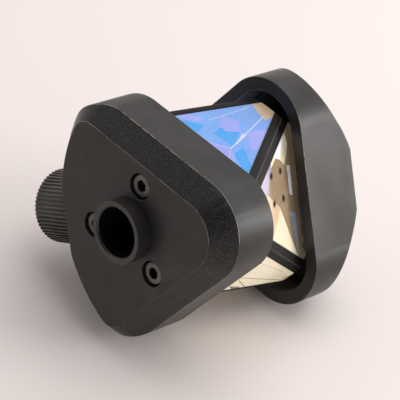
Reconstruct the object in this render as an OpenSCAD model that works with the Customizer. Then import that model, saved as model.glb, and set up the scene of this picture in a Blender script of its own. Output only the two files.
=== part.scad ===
// All-round surveying mini prism: six glass corner cubes cemented into an octahedron,
// held between two rounded-triangular caps that are turned 60 degrees to each other.
// One cap carries a 12 mm spigot socket with a radial thumb screw.
// Every part is drawn about the main axis, with the socket cap's face at z = 0 and the
// axis pointing out of the socket. The module lying() then lays the object down the way
// it rests: on one corner of the socket cap and one flank of the plain cap.

/* [Caps] */
// Distance from the axis to a flank of a cap
cap_flank = 21.5; // [21:0.1:22.5]
// Radius of a cap's corners
cap_corner = 12.5; // [12:0.1:13]
// Thickness of a cap along the axis
cap_t = 16.4; // [16:0.1:18]
// Free gap between the caps, where the glass shows
cap_gap = 22; // [20:0.1:22.4]
// Wall between a cap's recess and its flank
cap_wall = 3.3; // [3:0.1:3.4]
// Thickness of a cap's web, under the screw heads
cap_web = 6.2; // [6:0.1:6.6]
// Axial depth of the milled chamfer
chamfer_depth = 5.2; // [4:0.1:5.6]
// Radial width of the milled chamfer
chamfer_width = 4.4; // [3.6:0.1:5]
// Radius at which the socket cap's turned chamfer starts
turned_r = 35.4; // [35:0.1:36.4]
// Distance of the socket cap's turned chamfer from the axis
turned_offset = 13; // [12.6:0.1:13.4]
// Radius at which the plain cap's turned chamfer starts
far_turned_r = 24.6; // [24.4:0.1:25.4]
// Distance of the plain cap's turned chamfer from the axis
far_turned_offset = 2; // [1.8:0.1:2.4]
// Radius that rounds the corner between the milled and the turned chamfer
ridge_r = 5; // [4:0.1:5.5]

/* [Socket] */
// Diameter of the spigot bore
bore_d = 12; // [11:0.1:12.2]
// Outer diameter of the socket collar
collar_d = 15; // [14.6:0.1:15.6]
// Height of the collar above the cap's face
collar_h = 3.9; // [3:0.1:5]
// Depth of the bore below the cap's face
bore_depth = 14.5; // [14.4:0.1:14.6]

/* [Glass] */
// Radius of the octahedron's end triangles, before its corners are ground off
octa_r = 26.9; // [26.5:0.1:27.1]
// Distance from the centre to a ground corner
tip_cut = 25.8; // [25:0.1:27]
// Width of the black strips along the edges
strip_w = 4; // [3:0.1:4.4]
// Cement gap between neighbouring prisms
cement = 0.1; // [0.06:0.02:0.2]

/* [Clamp screw] */
// Diameter of the knob over its ridges
knob_d = 18.4; // [16:0.1:19]
// Distance from the main axis to the knob's outer end
knob_end = 37.4; // [36:0.1:40]
// Number of ridges around the knob
ridges = 56; // [40:2:72]
// Thread diameter of the clamp screw
thread_d = 4; // [3:0.5:4]
// Depth of the clamp screw's axis below the cap's face
clamp_z = 12.3; // [12.2:0.05:12.5]

/* [Screws] */
// Radius of the screw circle on each cap
bolt_circle = 11.8; // [11.7:0.1:12.4]
// Thread diameter of the cap screws
screw_d = 3; // [2.5:0.5:3]

/* [Hidden] */
$fn = 72;
CORNERS = [0, 120, 240];
FLANKS = [60, 180, 300];
far = 90;
over = 1;
// extra radius on round corners, so that each arc crosses the straights beside it cleanly
cross_r = 0.02;

// caps
length = 2 * cap_t + cap_gap;
cap_tip = 2 * cap_flank - cap_corner;
corner_at = 2 * (cap_flank - cap_corner);
recess_flank = cap_flank - cap_wall;
recess_corner = cap_corner - cap_wall;
turned_slope = 1.12;
turned_reach = 14;
ridge_reach = 8;

// end plates and seat rings, stacked under the web
part_gap = 0.3;
plate_t = 3.2;
plate_end = cap_web + plate_t;
ring_t = 0.6;
ring_outer = [16.6, 7.6];
ring_inner = [11, 3];
glass_end = plate_end + ring_t;

// cap screws: low heads in counterbores
head_d = 1.8 * screw_d;
head_sink = 0.6;
seat_z = head_sink + screw_d;
counterbore_d = head_d + 0.9;
clear_d = screw_d + 0.2;
hex_af = 2.5;
hex_depth = 1.6;
screw_l = 5.4;

// socket sleeve
flange_d = 19.6;
flange_t = 1.2;
tube_d = collar_d - 0.2;
tube_end = bore_depth + 1.5;
mouth = 0.4;

// octahedron, in a frame whose axes point at its corners
octa_c = octa_r * sqrt(3 / 2);
lean = atan(1 / sqrt(2));
facet_out = octa_c / sqrt(2) - strip_w / 2 * tan(lean);
strip_gap = 0.02;
strip_edge = 0.25;
strip_ridge = 0.85;
short_end = clamp_z + thread_d / 2 + 0.6;

// clamp screw, measured outwards along its own axis
knob_r = knob_d / 2;
knob_l = 14.6;
knob_edge = 0.6;
ridge_h = 0.4;
boss_d = 9;
boss_l = 0.3;
bore_in_knob = 9;
pad_r = 1.9;
pad_hole_r = 2;
pad_tip = bore_d / 2 + 0.35;
pad_l = 1.8;
stub_r = 0.9;
stub_l = 1.4;
bush_r = 2.9;
run_gap = 0.05;

// lying pose
tilt = atan((cap_tip - cap_flank) / (length - chamfer_depth - cap_t));
side_reach = corner_at * cos(30) + cap_corner;
knob_reach = max(knob_end * cos(30) + (knob_r - ridge_h - run_gap - knob_edge) * sin(30),
                 (knob_end - knob_edge - run_gap) * cos(30) + knob_r * sin(30));
lie_x = (knob_reach - side_reach) / 2;
lie_y = -length * cos(tilt) / 2;
lie_z = cap_tip * cos(tilt) + cap_t * sin(tilt);

// ---- placing ----

// Lays the object on its resting corner and flank, centred over the origin
module lying() {
    translate([lie_x, lie_y, lie_z]) rotate([90 - tilt, 0, 0]) rotate([0, 0, 30]) children();
}

// Puts a part of the socket end at the plain end
module far_end() {
    translate([0, 0, -length]) rotate([0, 180, 0]) children();
}

// Frame at the octahedron's centre, whose axes point at its corners
module octa_axes() {
    translate([0, 0, -length / 2]) rotate([45, -lean, 0]) children();
}

// Axis of the clamp screw: local z runs outwards from the main axis
module clamp_axis(from) {
    translate([0, 0, -clamp_z]) rotate([0, -90, 0]) translate([0, 0, from]) children();
}

module at_screws() {
    for (a = FLANKS) rotate(a) translate([bolt_circle, 0, 0]) children();
}

// ---- shapes that repeat ----

// Triangle with round corners, given by its flank distance and corner radius
module round_triangle(flank, corner) {
    at = 2 * (flank - corner);
    for (a = CORNERS) rotate(a) translate([at, 0]) circle(corner + cross_r);
    polygon([for (a = CORNERS) for (s = [-60, 60])
        [at * cos(a) + corner * cos(a + s), at * sin(a) + corner * sin(a + s)]]);
}

// Rounded-triangular plate between two depths below the cap's face
module plate(flank, corner, top, bottom) {
    translate([0, 0, -bottom]) linear_extrude(bottom - top) round_triangle(flank, corner);
}

// Everything on the near side of a plane, given by its direction and distance
module half_space(dir, dist) {
    rotate([0, acos(dir[2] / norm(dir)), atan2(dir[1], dir[0])])
        translate([-far / 2, -far / 2, dist - far]) cube(far);
}

// ---- caps ----

// Cutter profile of the milled chamfer, x measured outwards
module chamfer_profile(reach) {
    more = 0.1;
    polygon([[reach - chamfer_width * (1 + more), chamfer_depth * more],
             [reach + chamfer_width * more, -chamfer_depth * (1 + more)],
             [reach + chamfer_width, -chamfer_depth * (1 + more)],
             [reach + chamfer_width, chamfer_depth * more]]);
}

// Milled chamfer: round one corner and out along the two flanks beside it
module milled_chamfer() {
    start = corner_at * sin(60) + 2 * over;
    run = start + 2 * cap_flank;
    translate([corner_at, 0, 0]) rotate(-60) rotate_extrude(angle = 120)
        chamfer_profile(cap_corner + cross_r);
    rotate(60) translate([0, run - start, 0]) rotate([90, 0, 0])
        linear_extrude(run) chamfer_profile(cap_flank);
    rotate(-60) translate([0, start, 0]) rotate([90, 0, 0])
        linear_extrude(run) chamfer_profile(cap_flank);
}

// Profile of a chamfer cut round an axis, whose front edge is a circle of a given radius
module turned_profile(r, reach) {
    polygon([[r - over, over * turned_slope],
             [r + reach, -reach * turned_slope],
             [r + reach, over * turned_slope]]);
}

// Turned chamfer on the two corners beside the third flank
module turned_chamfer(r, offset_x) {
    translate([offset_x, 0, 0]) rotate(90) rotate_extrude(angle = 180)
        turned_profile(r, turned_reach);
}

// Rounds the two corners where the milled chamfer runs into the turned one
module ridge_round(r, offset_x) {
    inset = cap_flank - chamfer_width - ridge_r;
    along = sqrt(pow(r - ridge_r, 2) - pow(inset - offset_x * cos(60), 2)) - offset_x * sin(60);
    x = inset * cos(60) - along * sin(60);
    y = inset * sin(60) + along * cos(60);
    stop = atan2(y, x - offset_x);
    for (way = [-1, 1])
        translate([x, way * y, 0]) rotate(way > 0 ? 60 : -stop)
            rotate_extrude(angle = stop - 60) turned_profile(ridge_r + cross_r, ridge_reach);
}

module cap_blank(r, offset_x) {
    difference() {
        plate(cap_flank, cap_corner, 0, cap_t);
        milled_chamfer();
        turned_chamfer(r, offset_x);
        ridge_round(r, offset_x);
        plate(recess_flank, recess_corner, cap_web, cap_t + over);
        at_screws() {
            translate([0, 0, -seat_z]) cylinder(h = seat_z + over, d = counterbore_d);
            translate([0, 0, -cap_web - over]) cylinder(h = cap_web + over, d = clear_d);
        }
    }
}

module near_cap() {
    color([0.09, 0.088, 0.086]) lying() difference() {
        cap_blank(turned_r, turned_offset);
        translate([0, 0, -cap_web - over]) cylinder(h = cap_web + 2 * over, d = collar_d);
        clamp_axis(recess_flank - over) cylinder(h = cap_wall + 2 * over, r = bush_r);
    }
}

module far_cap() {
    color([0.09, 0.088, 0.086]) lying() far_end()
        cap_blank(far_turned_r, far_turned_offset);
}

// Three socket-head screws, heads sunk below the face
module cap_screws() {
    at_screws() difference() {
        union() {
            translate([0, 0, -seat_z]) cylinder(h = screw_d, d = head_d);
            translate([0, 0, -seat_z - screw_l]) cylinder(h = screw_l + over, d = screw_d);
        }
        translate([0, 0, -head_sink - hex_depth])
            cylinder(h = hex_depth + over, d = hex_af / cos(30), $fn = 6);
    }
}

module near_cap_screws() { color([0.35, 0.34, 0.33]) lying() cap_screws(); }
module far_cap_screws() { color([0.35, 0.34, 0.33]) lying() far_end() cap_screws(); }

// ---- what sits in the recesses ----

// Turned sleeve: collar, trapped flange and a closed tube that holds the spigot
module socket_sleeve() {
    color([0.42, 0.42, 0.41]) lying() difference() {
        union() {
            translate([0, 0, -cap_web]) cylinder(h = cap_web + collar_h, d = collar_d);
            translate([0, 0, -cap_web - flange_t]) cylinder(h = flange_t, d = flange_d);
            translate([0, 0, -tube_end]) cylinder(h = tube_end - cap_web, d = tube_d);
        }
        translate([0, 0, -bore_depth]) cylinder(h = bore_depth + collar_h + over, d = bore_d);
        translate([0, 0, collar_h - mouth]) cylinder(h = 2 * mouth, d1 = bore_d, d2 = bore_d + 4 * mouth);
        clamp_axis(bore_d / 4) cylinder(h = collar_d, r = pad_hole_r);
    }
}

// Plate that the cap screws pull up against the web
module end_plate() {
    difference() {
        plate(recess_flank - part_gap, recess_corner - part_gap, cap_web, plate_end);
        at_screws() translate([0, 0, -plate_end - over]) cylinder(h = plate_t + 2 * over, d = screw_d);
    }
}

module near_end_plate() {
    color([0.16, 0.16, 0.17]) lying() difference() {
        end_plate();
        translate([0, 0, -plate_end - over]) cylinder(h = plate_t + 2 * over, d = tube_d + part_gap);
        translate([0, 0, -cap_web - flange_t - run_gap])
            cylinder(h = flange_t + over, d = flange_d + part_gap);
    }
}

module far_end_plate() { color([0.16, 0.16, 0.17]) lying() far_end() end_plate(); }

// Rubber ring between an end plate and the glass
module seat_ring() {
    difference() {
        plate(ring_outer[0], ring_outer[1], plate_end, glass_end);
        plate(ring_inner[0], ring_inner[1], plate_end - over, glass_end + over);
    }
}

module near_seat_ring() { color([0.05, 0.05, 0.05]) lying() seat_ring(); }
module far_seat_ring() { color([0.05, 0.05, 0.05]) lying() far_end() seat_ring(); }

// ---- glass ----

// One corner cube. signs gives its octant in the octahedron's own axes: it keeps clear
// of its neighbours by half the cement gap, ends at the outer face, the bevels under the
// edge strips and the ground corners, and is cut square below the seat ring.
module prism(signs, top) {
    color([0.75, 0.78, 0.86, 0.6]) lying() intersection() {
        octa_axes() intersection() {
            translate([for (s = signs) s > 0 ? cement / 2 : -tip_cut]) cube(tip_cut - cement / 2);
            half_space(signs, octa_c / sqrt(3));
            half_space([signs[0], signs[1], 0], facet_out);
            half_space([signs[0], 0, signs[2]], facet_out);
            half_space([0, signs[1], signs[2]], facet_out);
        }
        translate([-far / 2, -far / 2, glass_end - length]) cube([far, far, length - glass_end - top]);
    }
}

module prism_near_1() { prism([1, 1, -1], glass_end); }
module prism_near_2() { prism([-1, 1, 1], short_end); }
module prism_near_3() { prism([1, -1, 1], glass_end); }
module prism_far_1() { prism([1, -1, -1], glass_end); }
module prism_far_2() { prism([-1, 1, -1], glass_end); }
module prism_far_3() { prism([-1, -1, 1], glass_end); }

// Low roof-shaped strip on the bevel between two faces. It runs from the near corner on
// axis i to the far corner on axis j, and ends flush with the ground corners.
module edge_strip(i, j) {
    near = [for (k = [0, 1, 2]) k == i ? 1 : 0];
    back = [for (k = [0, 1, 2]) k == j ? 1 : 0];
    along = (near + back) / sqrt(2);
    out = (near - back) / sqrt(2);
    side = cross(along, out);
    base = facet_out + strip_gap;
    half = strip_w / 2 - run_gap;
    color([0.07, 0.07, 0.075]) lying() octa_axes() intersection() {
        multmatrix([for (k = [0, 1, 2]) [out[k], side[k], along[k], 0]])
            translate([0, 0, -tip_cut]) linear_extrude(2 * tip_cut)
                polygon([[base, -half], [base + strip_edge, -half], [base + strip_ridge, 0],
                         [base + strip_edge, half], [base, half]]);
        cube(2 * tip_cut, center = true);
    }
}

module edge_strip_1() { edge_strip(0, 2); }
module edge_strip_2() { edge_strip(1, 2); }
module edge_strip_3() { edge_strip(1, 0); }
module edge_strip_4() { edge_strip(2, 0); }
module edge_strip_5() { edge_strip(2, 1); }
module edge_strip_6() { edge_strip(0, 1); }

// ---- clamp ----

// Threaded bush pressed into the cap's wall
module clamp_bush() {
    color([0.7, 0.56, 0.3]) lying() clamp_axis(recess_flank) difference() {
        cylinder(h = cap_wall, r = bush_r);
        translate([0, 0, -over]) cylinder(h = cap_wall + 2 * over, r = thread_d / 2 + run_gap);
    }
}

// Steel screw, pressed into the knob, with a hole for the pad's stub in its inner end
module clamp_screw() {
    start = pad_tip + pad_l + run_gap;
    stop = knob_end - knob_l + bore_in_knob;
    color([0.55, 0.55, 0.56]) lying() clamp_axis(start) difference() {
        cylinder(h = stop - start, d = thread_d);
        translate([0, 0, -over]) cylinder(h = stub_l + over + 0.2, r = stub_r + run_gap);
    }
}

// Knob with straight ridges
module clamp_knob() {
    valley_r = knob_r - ridge_h;
    core_r = valley_r - run_gap;
    ridge_from = knob_edge + run_gap;
    step = 360 / ridges;
    color([0.12, 0.12, 0.125]) lying() clamp_axis(knob_end - knob_l) difference() {
        union() {
            rotate_extrude() polygon([[0, -boss_l], [boss_d / 2, -boss_l], [boss_d / 2, 0],
                [core_r - knob_edge, 0], [core_r, knob_edge], [core_r, knob_l - knob_edge],
                [core_r - knob_edge, knob_l], [0, knob_l]]);
            translate([0, 0, ridge_from]) linear_extrude(knob_l - 2 * ridge_from)
                polygon([for (i = [0:ridges - 1]) for (k = [0, 1, 2])
                    (k == 2 ? valley_r : knob_r) *
                    [cos((i + 0.35 * k) * step), sin((i + 0.35 * k) * step)]]);
        }
        translate([0, 0, -boss_l - over]) cylinder(h = bore_in_knob + boss_l + over, d = thread_d);
    }
}

// Brass pad that swivels on the screw's inner end and bears on the spigot
module clamp_pad() {
    color([0.75, 0.6, 0.32]) lying() clamp_axis(pad_tip) {
        cylinder(h = pad_l, r = pad_r);
        cylinder(h = pad_l + stub_l, r = stub_r);
    }
}

near_cap();
far_cap();
socket_sleeve();
near_end_plate();
far_end_plate();
near_cap_screws();
far_cap_screws();
near_seat_ring();
far_seat_ring();
prism_near_1();
prism_near_2();
prism_near_3();
prism_far_1();
prism_far_2();
prism_far_3();
edge_strip_1();
edge_strip_2();
edge_strip_3();
edge_strip_4();
edge_strip_5();
edge_strip_6();
clamp_bush();
clamp_screw();
clamp_knob();
clamp_pad();
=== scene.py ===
"""All-round surveying mini prism, lying on one corner of its socket cap.

Six coated glass corner cubes between two black anodised caps, with a socket collar,
sunk cap screws and a thumb screw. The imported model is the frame: the pieces made here
stand for its nodes, and ride on its bodies.
"""

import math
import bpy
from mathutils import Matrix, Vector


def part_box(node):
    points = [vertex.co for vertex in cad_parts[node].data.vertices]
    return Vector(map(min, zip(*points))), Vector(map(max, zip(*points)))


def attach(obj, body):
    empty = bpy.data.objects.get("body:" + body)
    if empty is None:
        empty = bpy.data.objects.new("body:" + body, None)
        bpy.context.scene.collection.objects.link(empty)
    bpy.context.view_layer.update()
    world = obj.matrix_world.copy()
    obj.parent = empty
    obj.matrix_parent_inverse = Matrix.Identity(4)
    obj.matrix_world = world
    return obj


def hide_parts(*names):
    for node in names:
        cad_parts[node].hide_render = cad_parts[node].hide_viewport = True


bl_info = {
    "name": "All-round mini prism",
    "version": (1, 0, 0),
    "blender": (4, 5, 0),
    "location": "3D View > Sidebar > Mini prism",
    "description": "Glass corner cubes between two anodised caps, with a thumb screw",
    "category": "Object",
}

import bmesh
import bpy
from bpy.props import FloatProperty, FloatVectorProperty, IntProperty, PointerProperty
from mathutils import Matrix, Vector

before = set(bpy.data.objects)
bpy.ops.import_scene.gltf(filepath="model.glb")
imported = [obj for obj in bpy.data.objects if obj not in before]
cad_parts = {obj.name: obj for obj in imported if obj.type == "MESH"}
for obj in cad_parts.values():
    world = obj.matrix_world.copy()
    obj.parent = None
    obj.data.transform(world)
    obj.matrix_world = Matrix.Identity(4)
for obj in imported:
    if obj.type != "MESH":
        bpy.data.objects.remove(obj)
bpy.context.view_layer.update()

MM = 0.001

# Sizes that the frame fixes, from which the directions of the pieces are worked out
CAP_FLANK = 21.5 * MM
CAP_CORNER = 12.5 * MM
CAP_THICK = 16.4 * MM
CAP_GAP = 22 * MM
CHAMFER_DEPTH = 5.2 * MM
OCTA_RADIUS = 26.9 * MM
TIP_CUT = 25.8 * MM
CLAMP_DEPTH = 12.3 * MM
KNOB_END = 37.4 * MM

LENGTH = 2 * CAP_THICK + CAP_GAP
CAP_TIP = 2 * CAP_FLANK - CAP_CORNER
OCTA_CORNER = OCTA_RADIUS * math.sqrt(1.5)
LEAN = math.atan(math.sqrt(0.5))
TILT = math.atan((CAP_TIP - CAP_FLANK) / (LENGTH - CHAMFER_DEPTH - CAP_THICK))


def turn(degrees, axis):
    return Matrix.Rotation(math.radians(degrees), 4, axis)


def lying_axis():
    """The main axis as it lies: z runs out of the socket, x to the socket cap's corner."""
    low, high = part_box("near_cap")
    across = (low[0] + high[0]) / 2
    back = -LENGTH * math.cos(TILT) / 2
    up = CAP_TIP * math.cos(TILT) + CAP_THICK * math.sin(TILT)
    place = Matrix.Translation((across, back, up))
    return place @ turn(90 - math.degrees(TILT), "X") @ turn(30, "Z")


AXIS = lying_axis()
FAR_AXIS = AXIS @ Matrix.Translation((0, 0, -LENGTH)) @ turn(180, "Y")
OCTA_AXES = (
    AXIS @ Matrix.Translation((0, 0, -LENGTH / 2)) @ turn(-math.degrees(LEAN), "Y") @ turn(45, "X")
)
CLAMP_AXIS = AXIS @ Matrix.Translation((0, 0, -CLAMP_DEPTH)) @ turn(-90, "Y")


# ---- node trees ----


class Value:
    """A node's output that takes part in Python expressions."""

    def __init__(self, nodes, link):
        self.nodes = nodes
        self.link = link

    def maths(self, operation, *others):
        return self.nodes.maths(operation, self, *others)

    def __add__(self, other):
        return self.maths("ADD", other)

    def __radd__(self, other):
        return self.nodes.maths("ADD", other, self)

    def __sub__(self, other):
        return self.maths("SUBTRACT", other)

    def __rsub__(self, other):
        return self.nodes.maths("SUBTRACT", other, self)

    def __mul__(self, other):
        return self.maths("MULTIPLY", other)

    def __rmul__(self, other):
        return self.nodes.maths("MULTIPLY", other, self)

    def __truediv__(self, other):
        return self.maths("DIVIDE", other)

    def __pow__(self, other):
        return self.maths("POWER", other)

    def smaller(self, other):
        return self.maths("MINIMUM", other)

    def rise(self, start, stop):
        """0 up to start and 1 past stop, with a smooth step between."""
        settings = {"interpolation_type": "SMOOTHSTEP"}
        inputs = {"Value": self, "From Min": start, "From Max": stop}
        return self.nodes.add("ShaderNodeMapRange", settings, inputs)


class Nodes:
    """Adds nodes to a tree. Each call gives back one output as a Value."""

    def __init__(self, tree):
        self.tree = tree

    def add(self, kind, settings=None, inputs=None, output=0):
        node = self.tree.nodes.new(kind)
        for key, setting in (settings or {}).items():
            setattr(node, key, setting)
        for key, value in (inputs or {}).items():
            for item in value if isinstance(value, list) else [value]:
                if isinstance(item, Value):
                    self.tree.links.new(item.link, node.inputs[key])
                else:
                    node.inputs[key].default_value = item
        return Value(self, node.outputs[output])

    def maths(self, operation, *values):
        return self.add("ShaderNodeMath", {"operation": operation}, dict(enumerate(values)))

    def split(self, vector):
        parts = self.add("ShaderNodeSeparateXYZ", None, {"Vector": vector})
        return [Value(self, out) for out in parts.link.node.outputs]

    def join(self, x, y, z=0.0):
        return self.add("ShaderNodeCombineXYZ", None, {"X": x, "Y": y, "Z": z})


class Finish(Nodes):
    """A material, with the patterns that finishes are made of. Sizes are in metres."""

    def __init__(self, name):
        self.material = bpy.data.materials.new(name)
        self.material.use_nodes = True
        self.material.node_tree.nodes.clear()
        super().__init__(self.material.node_tree)
        self.place = self.add("ShaderNodeTexCoord", output="Object")

    def seen_from(self, axis):
        """The place on the piece, measured in the frame of one of its axes."""
        inputs = {
            "Vector": self.place,
            "Location": axis.translation,
            "Rotation": axis.to_euler(),
        }
        return self.add("ShaderNodeMapping", {"vector_type": "TEXTURE"}, inputs)

    def noise(self, place, size, detail=2.0, warp=0.0):
        inputs = {
            "Vector": place,
            "Scale": 1 / size,
            "Detail": detail,
            "Distortion": warp,
        }
        return self.add("ShaderNodeTexNoise", None, inputs)

    def cells(self, place, size):
        """A random number for each cell."""
        cell = self.add("ShaderNodeTexVoronoi", None, {"Vector": place, "Scale": 1 / size}, "Color")
        return self.split(cell)[0]

    def stretched(self, place, factors):
        return self.add("ShaderNodeVectorMath", {"operation": "MULTIPLY"}, {0: place, 1: factors})

    def mark(self, name):
        return self.add("ShaderNodeAttribute", {"attribute_name": name}, output="Fac")

    def mix(self, factor, first, second, blend="MIX"):
        settings = {"data_type": "RGBA", "blend_type": blend}
        return self.add("ShaderNodeMix", settings, {0: factor, 6: first, 7: second}, 2)

    def done(self, sockets, height=None, depth=0.0):
        """Ends the material. A height adds relief of that depth."""
        if height is not None:
            inputs = {"Height": height, "Distance": depth}
            sockets["Normal"] = self.add("ShaderNodeBump", None, inputs)
        surface = self.add("ShaderNodeBsdfPrincipled", None, sockets)
        self.add_output(surface)
        return self.material

    def add_output(self, surface):
        end = self.tree.nodes.new("ShaderNodeOutputMaterial")
        self.tree.links.new(surface.link, end.inputs["Surface"])


def rgba(colour):
    return (colour[0], colour[1], colour[2], 1)


class Geometry(Nodes):
    """A geometry tree with named inputs. run() turns an object's result into a mesh."""

    def __init__(self, name, inputs):
        super().__init__(bpy.data.node_groups.new(name, "GeometryNodeTree"))
        self.keys = {}
        self.values = {}
        face = self.tree.interface
        face.new_socket("Geometry", in_out="INPUT", socket_type="NodeSocketGeometry")
        for label, (kind, value) in inputs.items():
            item = face.new_socket(label, in_out="INPUT", socket_type=kind)
            self.keys[item.identifier] = value
        face.new_socket("Geometry", in_out="OUTPUT", socket_type="NodeSocketGeometry")
        start = self.tree.nodes.new("NodeGroupInput")
        for out in start.outputs:
            if out.name:
                self.values[out.name] = Value(self, out)

    def ends_with(self, instances, material):
        real = self.add("GeometryNodeRealizeInstances", None, {"Geometry": instances})
        inputs = {"Geometry": real, "Material": material}
        painted = self.add("GeometryNodeSetMaterial", None, inputs)
        end = self.tree.nodes.new("NodeGroupOutput")
        self.tree.links.new(painted.link, end.inputs[0])

    def run(self, piece):
        grow = piece.modifiers.new("Repeat", "NODES")
        grow.node_group = self.tree
        for key, value in self.keys.items():
            grow[key] = value
        return piece


# ---- finishes ----

# Places of the four dots in the glass
DOTS_ACROSS = (0.2 * MM, 6.8 * MM)
DOTS_UP = (0.3 * MM, 5.7 * MM)
# Width that a prism's face map spans
MAP_REACH = 60 * MM


def anodised(name, look, marked=False):
    """Black anodised, bead-blasted metal, with painted glints as pale specks, more of them on a
    marked chamfer. A marked recess wall is painted paler, as painted light from the glass.
    """
    paint = Finish(name)
    grain = paint.noise(paint.place, look.grain, 2)
    cloud = paint.noise(paint.place, 7 * MM, 4)
    smear = paint.noise(paint.stretched(paint.place, (1, 0.3, 1)), 2.4 * MM, 3)
    glint_speck = paint.noise(paint.place, 0.26 * MM, 2).rise(0.5, 0.72)
    share = 0.12 + 0.88 * paint.mark("chamfer") if marked else 0.12
    tone = paint.mix(cloud.rise(0.3, 0.7), rgba(look.black), rgba(look.worn_black))
    if marked:
        tone = paint.mix(0.85 * paint.mark("chamfer"), tone, rgba(look.cut_black))
    # painted glints: pale specks mixed into the base colour, more of them on a marked chamfer
    tone = paint.mix(glint_speck * share * look.sparkle, tone, rgba(look.bare_and_glint))
    if marked:
        # painted light: the recess wall is mixed toward a pale colour, standing in for light from
        # the glass
        tone = paint.mix(paint.mark("recess") * (0.3 + 0.3 * smear), tone, rgba(look.recess))
    rough = look.roughness + 0.14 * (grain - 0.5) + 0.1 * (smear - 0.5)
    sockets = {"Base Color": tone, "Roughness": rough, "Specular IOR Level": 0.32}
    return paint.done(sockets, grain, look.grain_depth)


def painted_edge_highlight(name, look):
    """The rounded edges, with a thin broken painted highlight line along them."""
    paint = Finish(name)
    gaps = paint.noise(paint.place, 1.1 * MM, 3).rise(0.3, 0.55)
    stretch = 0.4 + 0.6 * paint.noise(paint.place, 9 * MM, 2).rise(0.35, 0.6)
    grain = paint.noise(paint.place, look.grain, 2)
    # painted highlight, in broken stretches along the marked edges
    highlight = gaps * stretch * paint.mark("bright_edge")
    tone = paint.mix(0.04 + 0.9 * highlight, rgba(look.black), rgba(look.bare_and_glint))
    sockets = {"Base Color": tone, "Roughness": 0.3 + 0.2 * grain, "Metallic": highlight * 0.3}
    return paint.done(sockets, grain, look.grain_depth / 2)


def turned(name, axis, colour, worn, roughness, metallic, reach):
    """Metal turned on a lathe about an axis, with fine rings and a little wear."""
    paint = Finish(name)
    x, y, z = paint.split(paint.seen_from(axis))
    radius = (x * x + y * y) ** 0.5
    rings = paint.noise(paint.join(radius, z), 0.16 * MM, 2)
    cloud = paint.noise(paint.place, 2.2 * MM, 4)
    rim = radius.rise(reach - 0.3 * MM, reach)
    tone = paint.mix(cloud.rise(0.35, 0.75) * 0.5 + rim * 0.5 * cloud, rgba(colour), rgba(worn))
    rough = roughness + 0.16 * (rings - 0.5) + 0.08 * (cloud - 0.5)
    sockets = {"Base Color": tone, "Roughness": rough, "Metallic": metallic}
    return paint.done(sockets, rings, 0.006 * MM)


def bore_black(look):
    """Painted shade inside the socket: a far darker black than the sleeve, where hardly any light
    comes back.
    """
    paint = Finish("bore_black")
    cloud = paint.noise(paint.place, 1.5 * MM, 3)
    tone = paint.mix(cloud, (0.002, 0.002, 0.0018, 1), (0.004, 0.0038, 0.0035, 1))
    sockets = {"Base Color": tone, "Roughness": 0.7 + 0.2 * cloud, "Specular IOR Level": 0.1}
    return paint.done(sockets, cloud, 0.02 * MM)


def screw_steel(look):
    """Blackened steel, rubbed brighter in rings round the head. The hexagon stays dark."""
    paint = Finish("cap_screw_steel")
    reach = paint.mark("reach")
    deep = paint.mark("deep")
    rings = paint.noise(paint.join(reach, deep), 0.14 * MM, 2)
    rub = paint.noise(paint.place, 0.9 * MM, 3)
    face = reach.rise(1.2 * MM, 1.7 * MM) * (1 - deep.rise(0.1 * MM, 0.5 * MM))
    tone = paint.mix(face * (0.35 + 0.65 * rub), rgba(look.screw_black), rgba(look.screw_worn))
    sockets = {"Base Color": tone, "Roughness": 0.3 + 0.25 * rings, "Metallic": 0.7 * face}
    return paint.done(sockets, rings, 0.008 * MM)


def knob_anodise(look):
    """Black anodised knob, rubbed a little on its ridges."""
    paint = Finish("knob_anodised")
    x, y, z = paint.split(paint.seen_from(CLAMP_AXIS))
    radius = (x * x + y * y) ** 0.5
    grain = paint.noise(paint.place, look.grain, 2)
    cloud = paint.noise(paint.place, 3.5 * MM, 3)
    crest = radius.rise(8.86 * MM, 9.15 * MM) * cloud.rise(0.3, 0.7)
    facing = paint.noise(paint.join(radius, z), 0.2 * MM, 2)
    tone = paint.mix(crest * 0.16, rgba(look.black), rgba(look.bare_and_glint))
    rough = 0.36 + 0.14 * facing + 0.1 * grain
    return paint.done({"Base Color": tone, "Roughness": rough}, grain + facing, 0.006 * MM)


def strip_paint(look):
    """Satin black lacquer on the strips, streaked along them."""
    paint = Finish("strip_lacquer")
    across = paint.mark("across")
    streak = paint.noise(paint.join(across, paint.mark("along") * 0.05), 0.35 * MM, 3)
    cloud = paint.noise(paint.place, 1.6 * MM, 4)
    crest = 1 - across.rise(0.08 * MM, 0.26 * MM)
    tone = paint.mix(streak.rise(0.4, 0.75), rgba(look.strip), rgba(look.strip_streak))
    tone = paint.mix(crest * cloud * 0.4, tone, rgba(look.screw_worn))
    sockets = {"Base Color": tone, "Roughness": 0.4 + 0.2 * cloud, "Specular IOR Level": 0.2}
    return paint.done(sockets, streak, 0.01 * MM)


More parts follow.
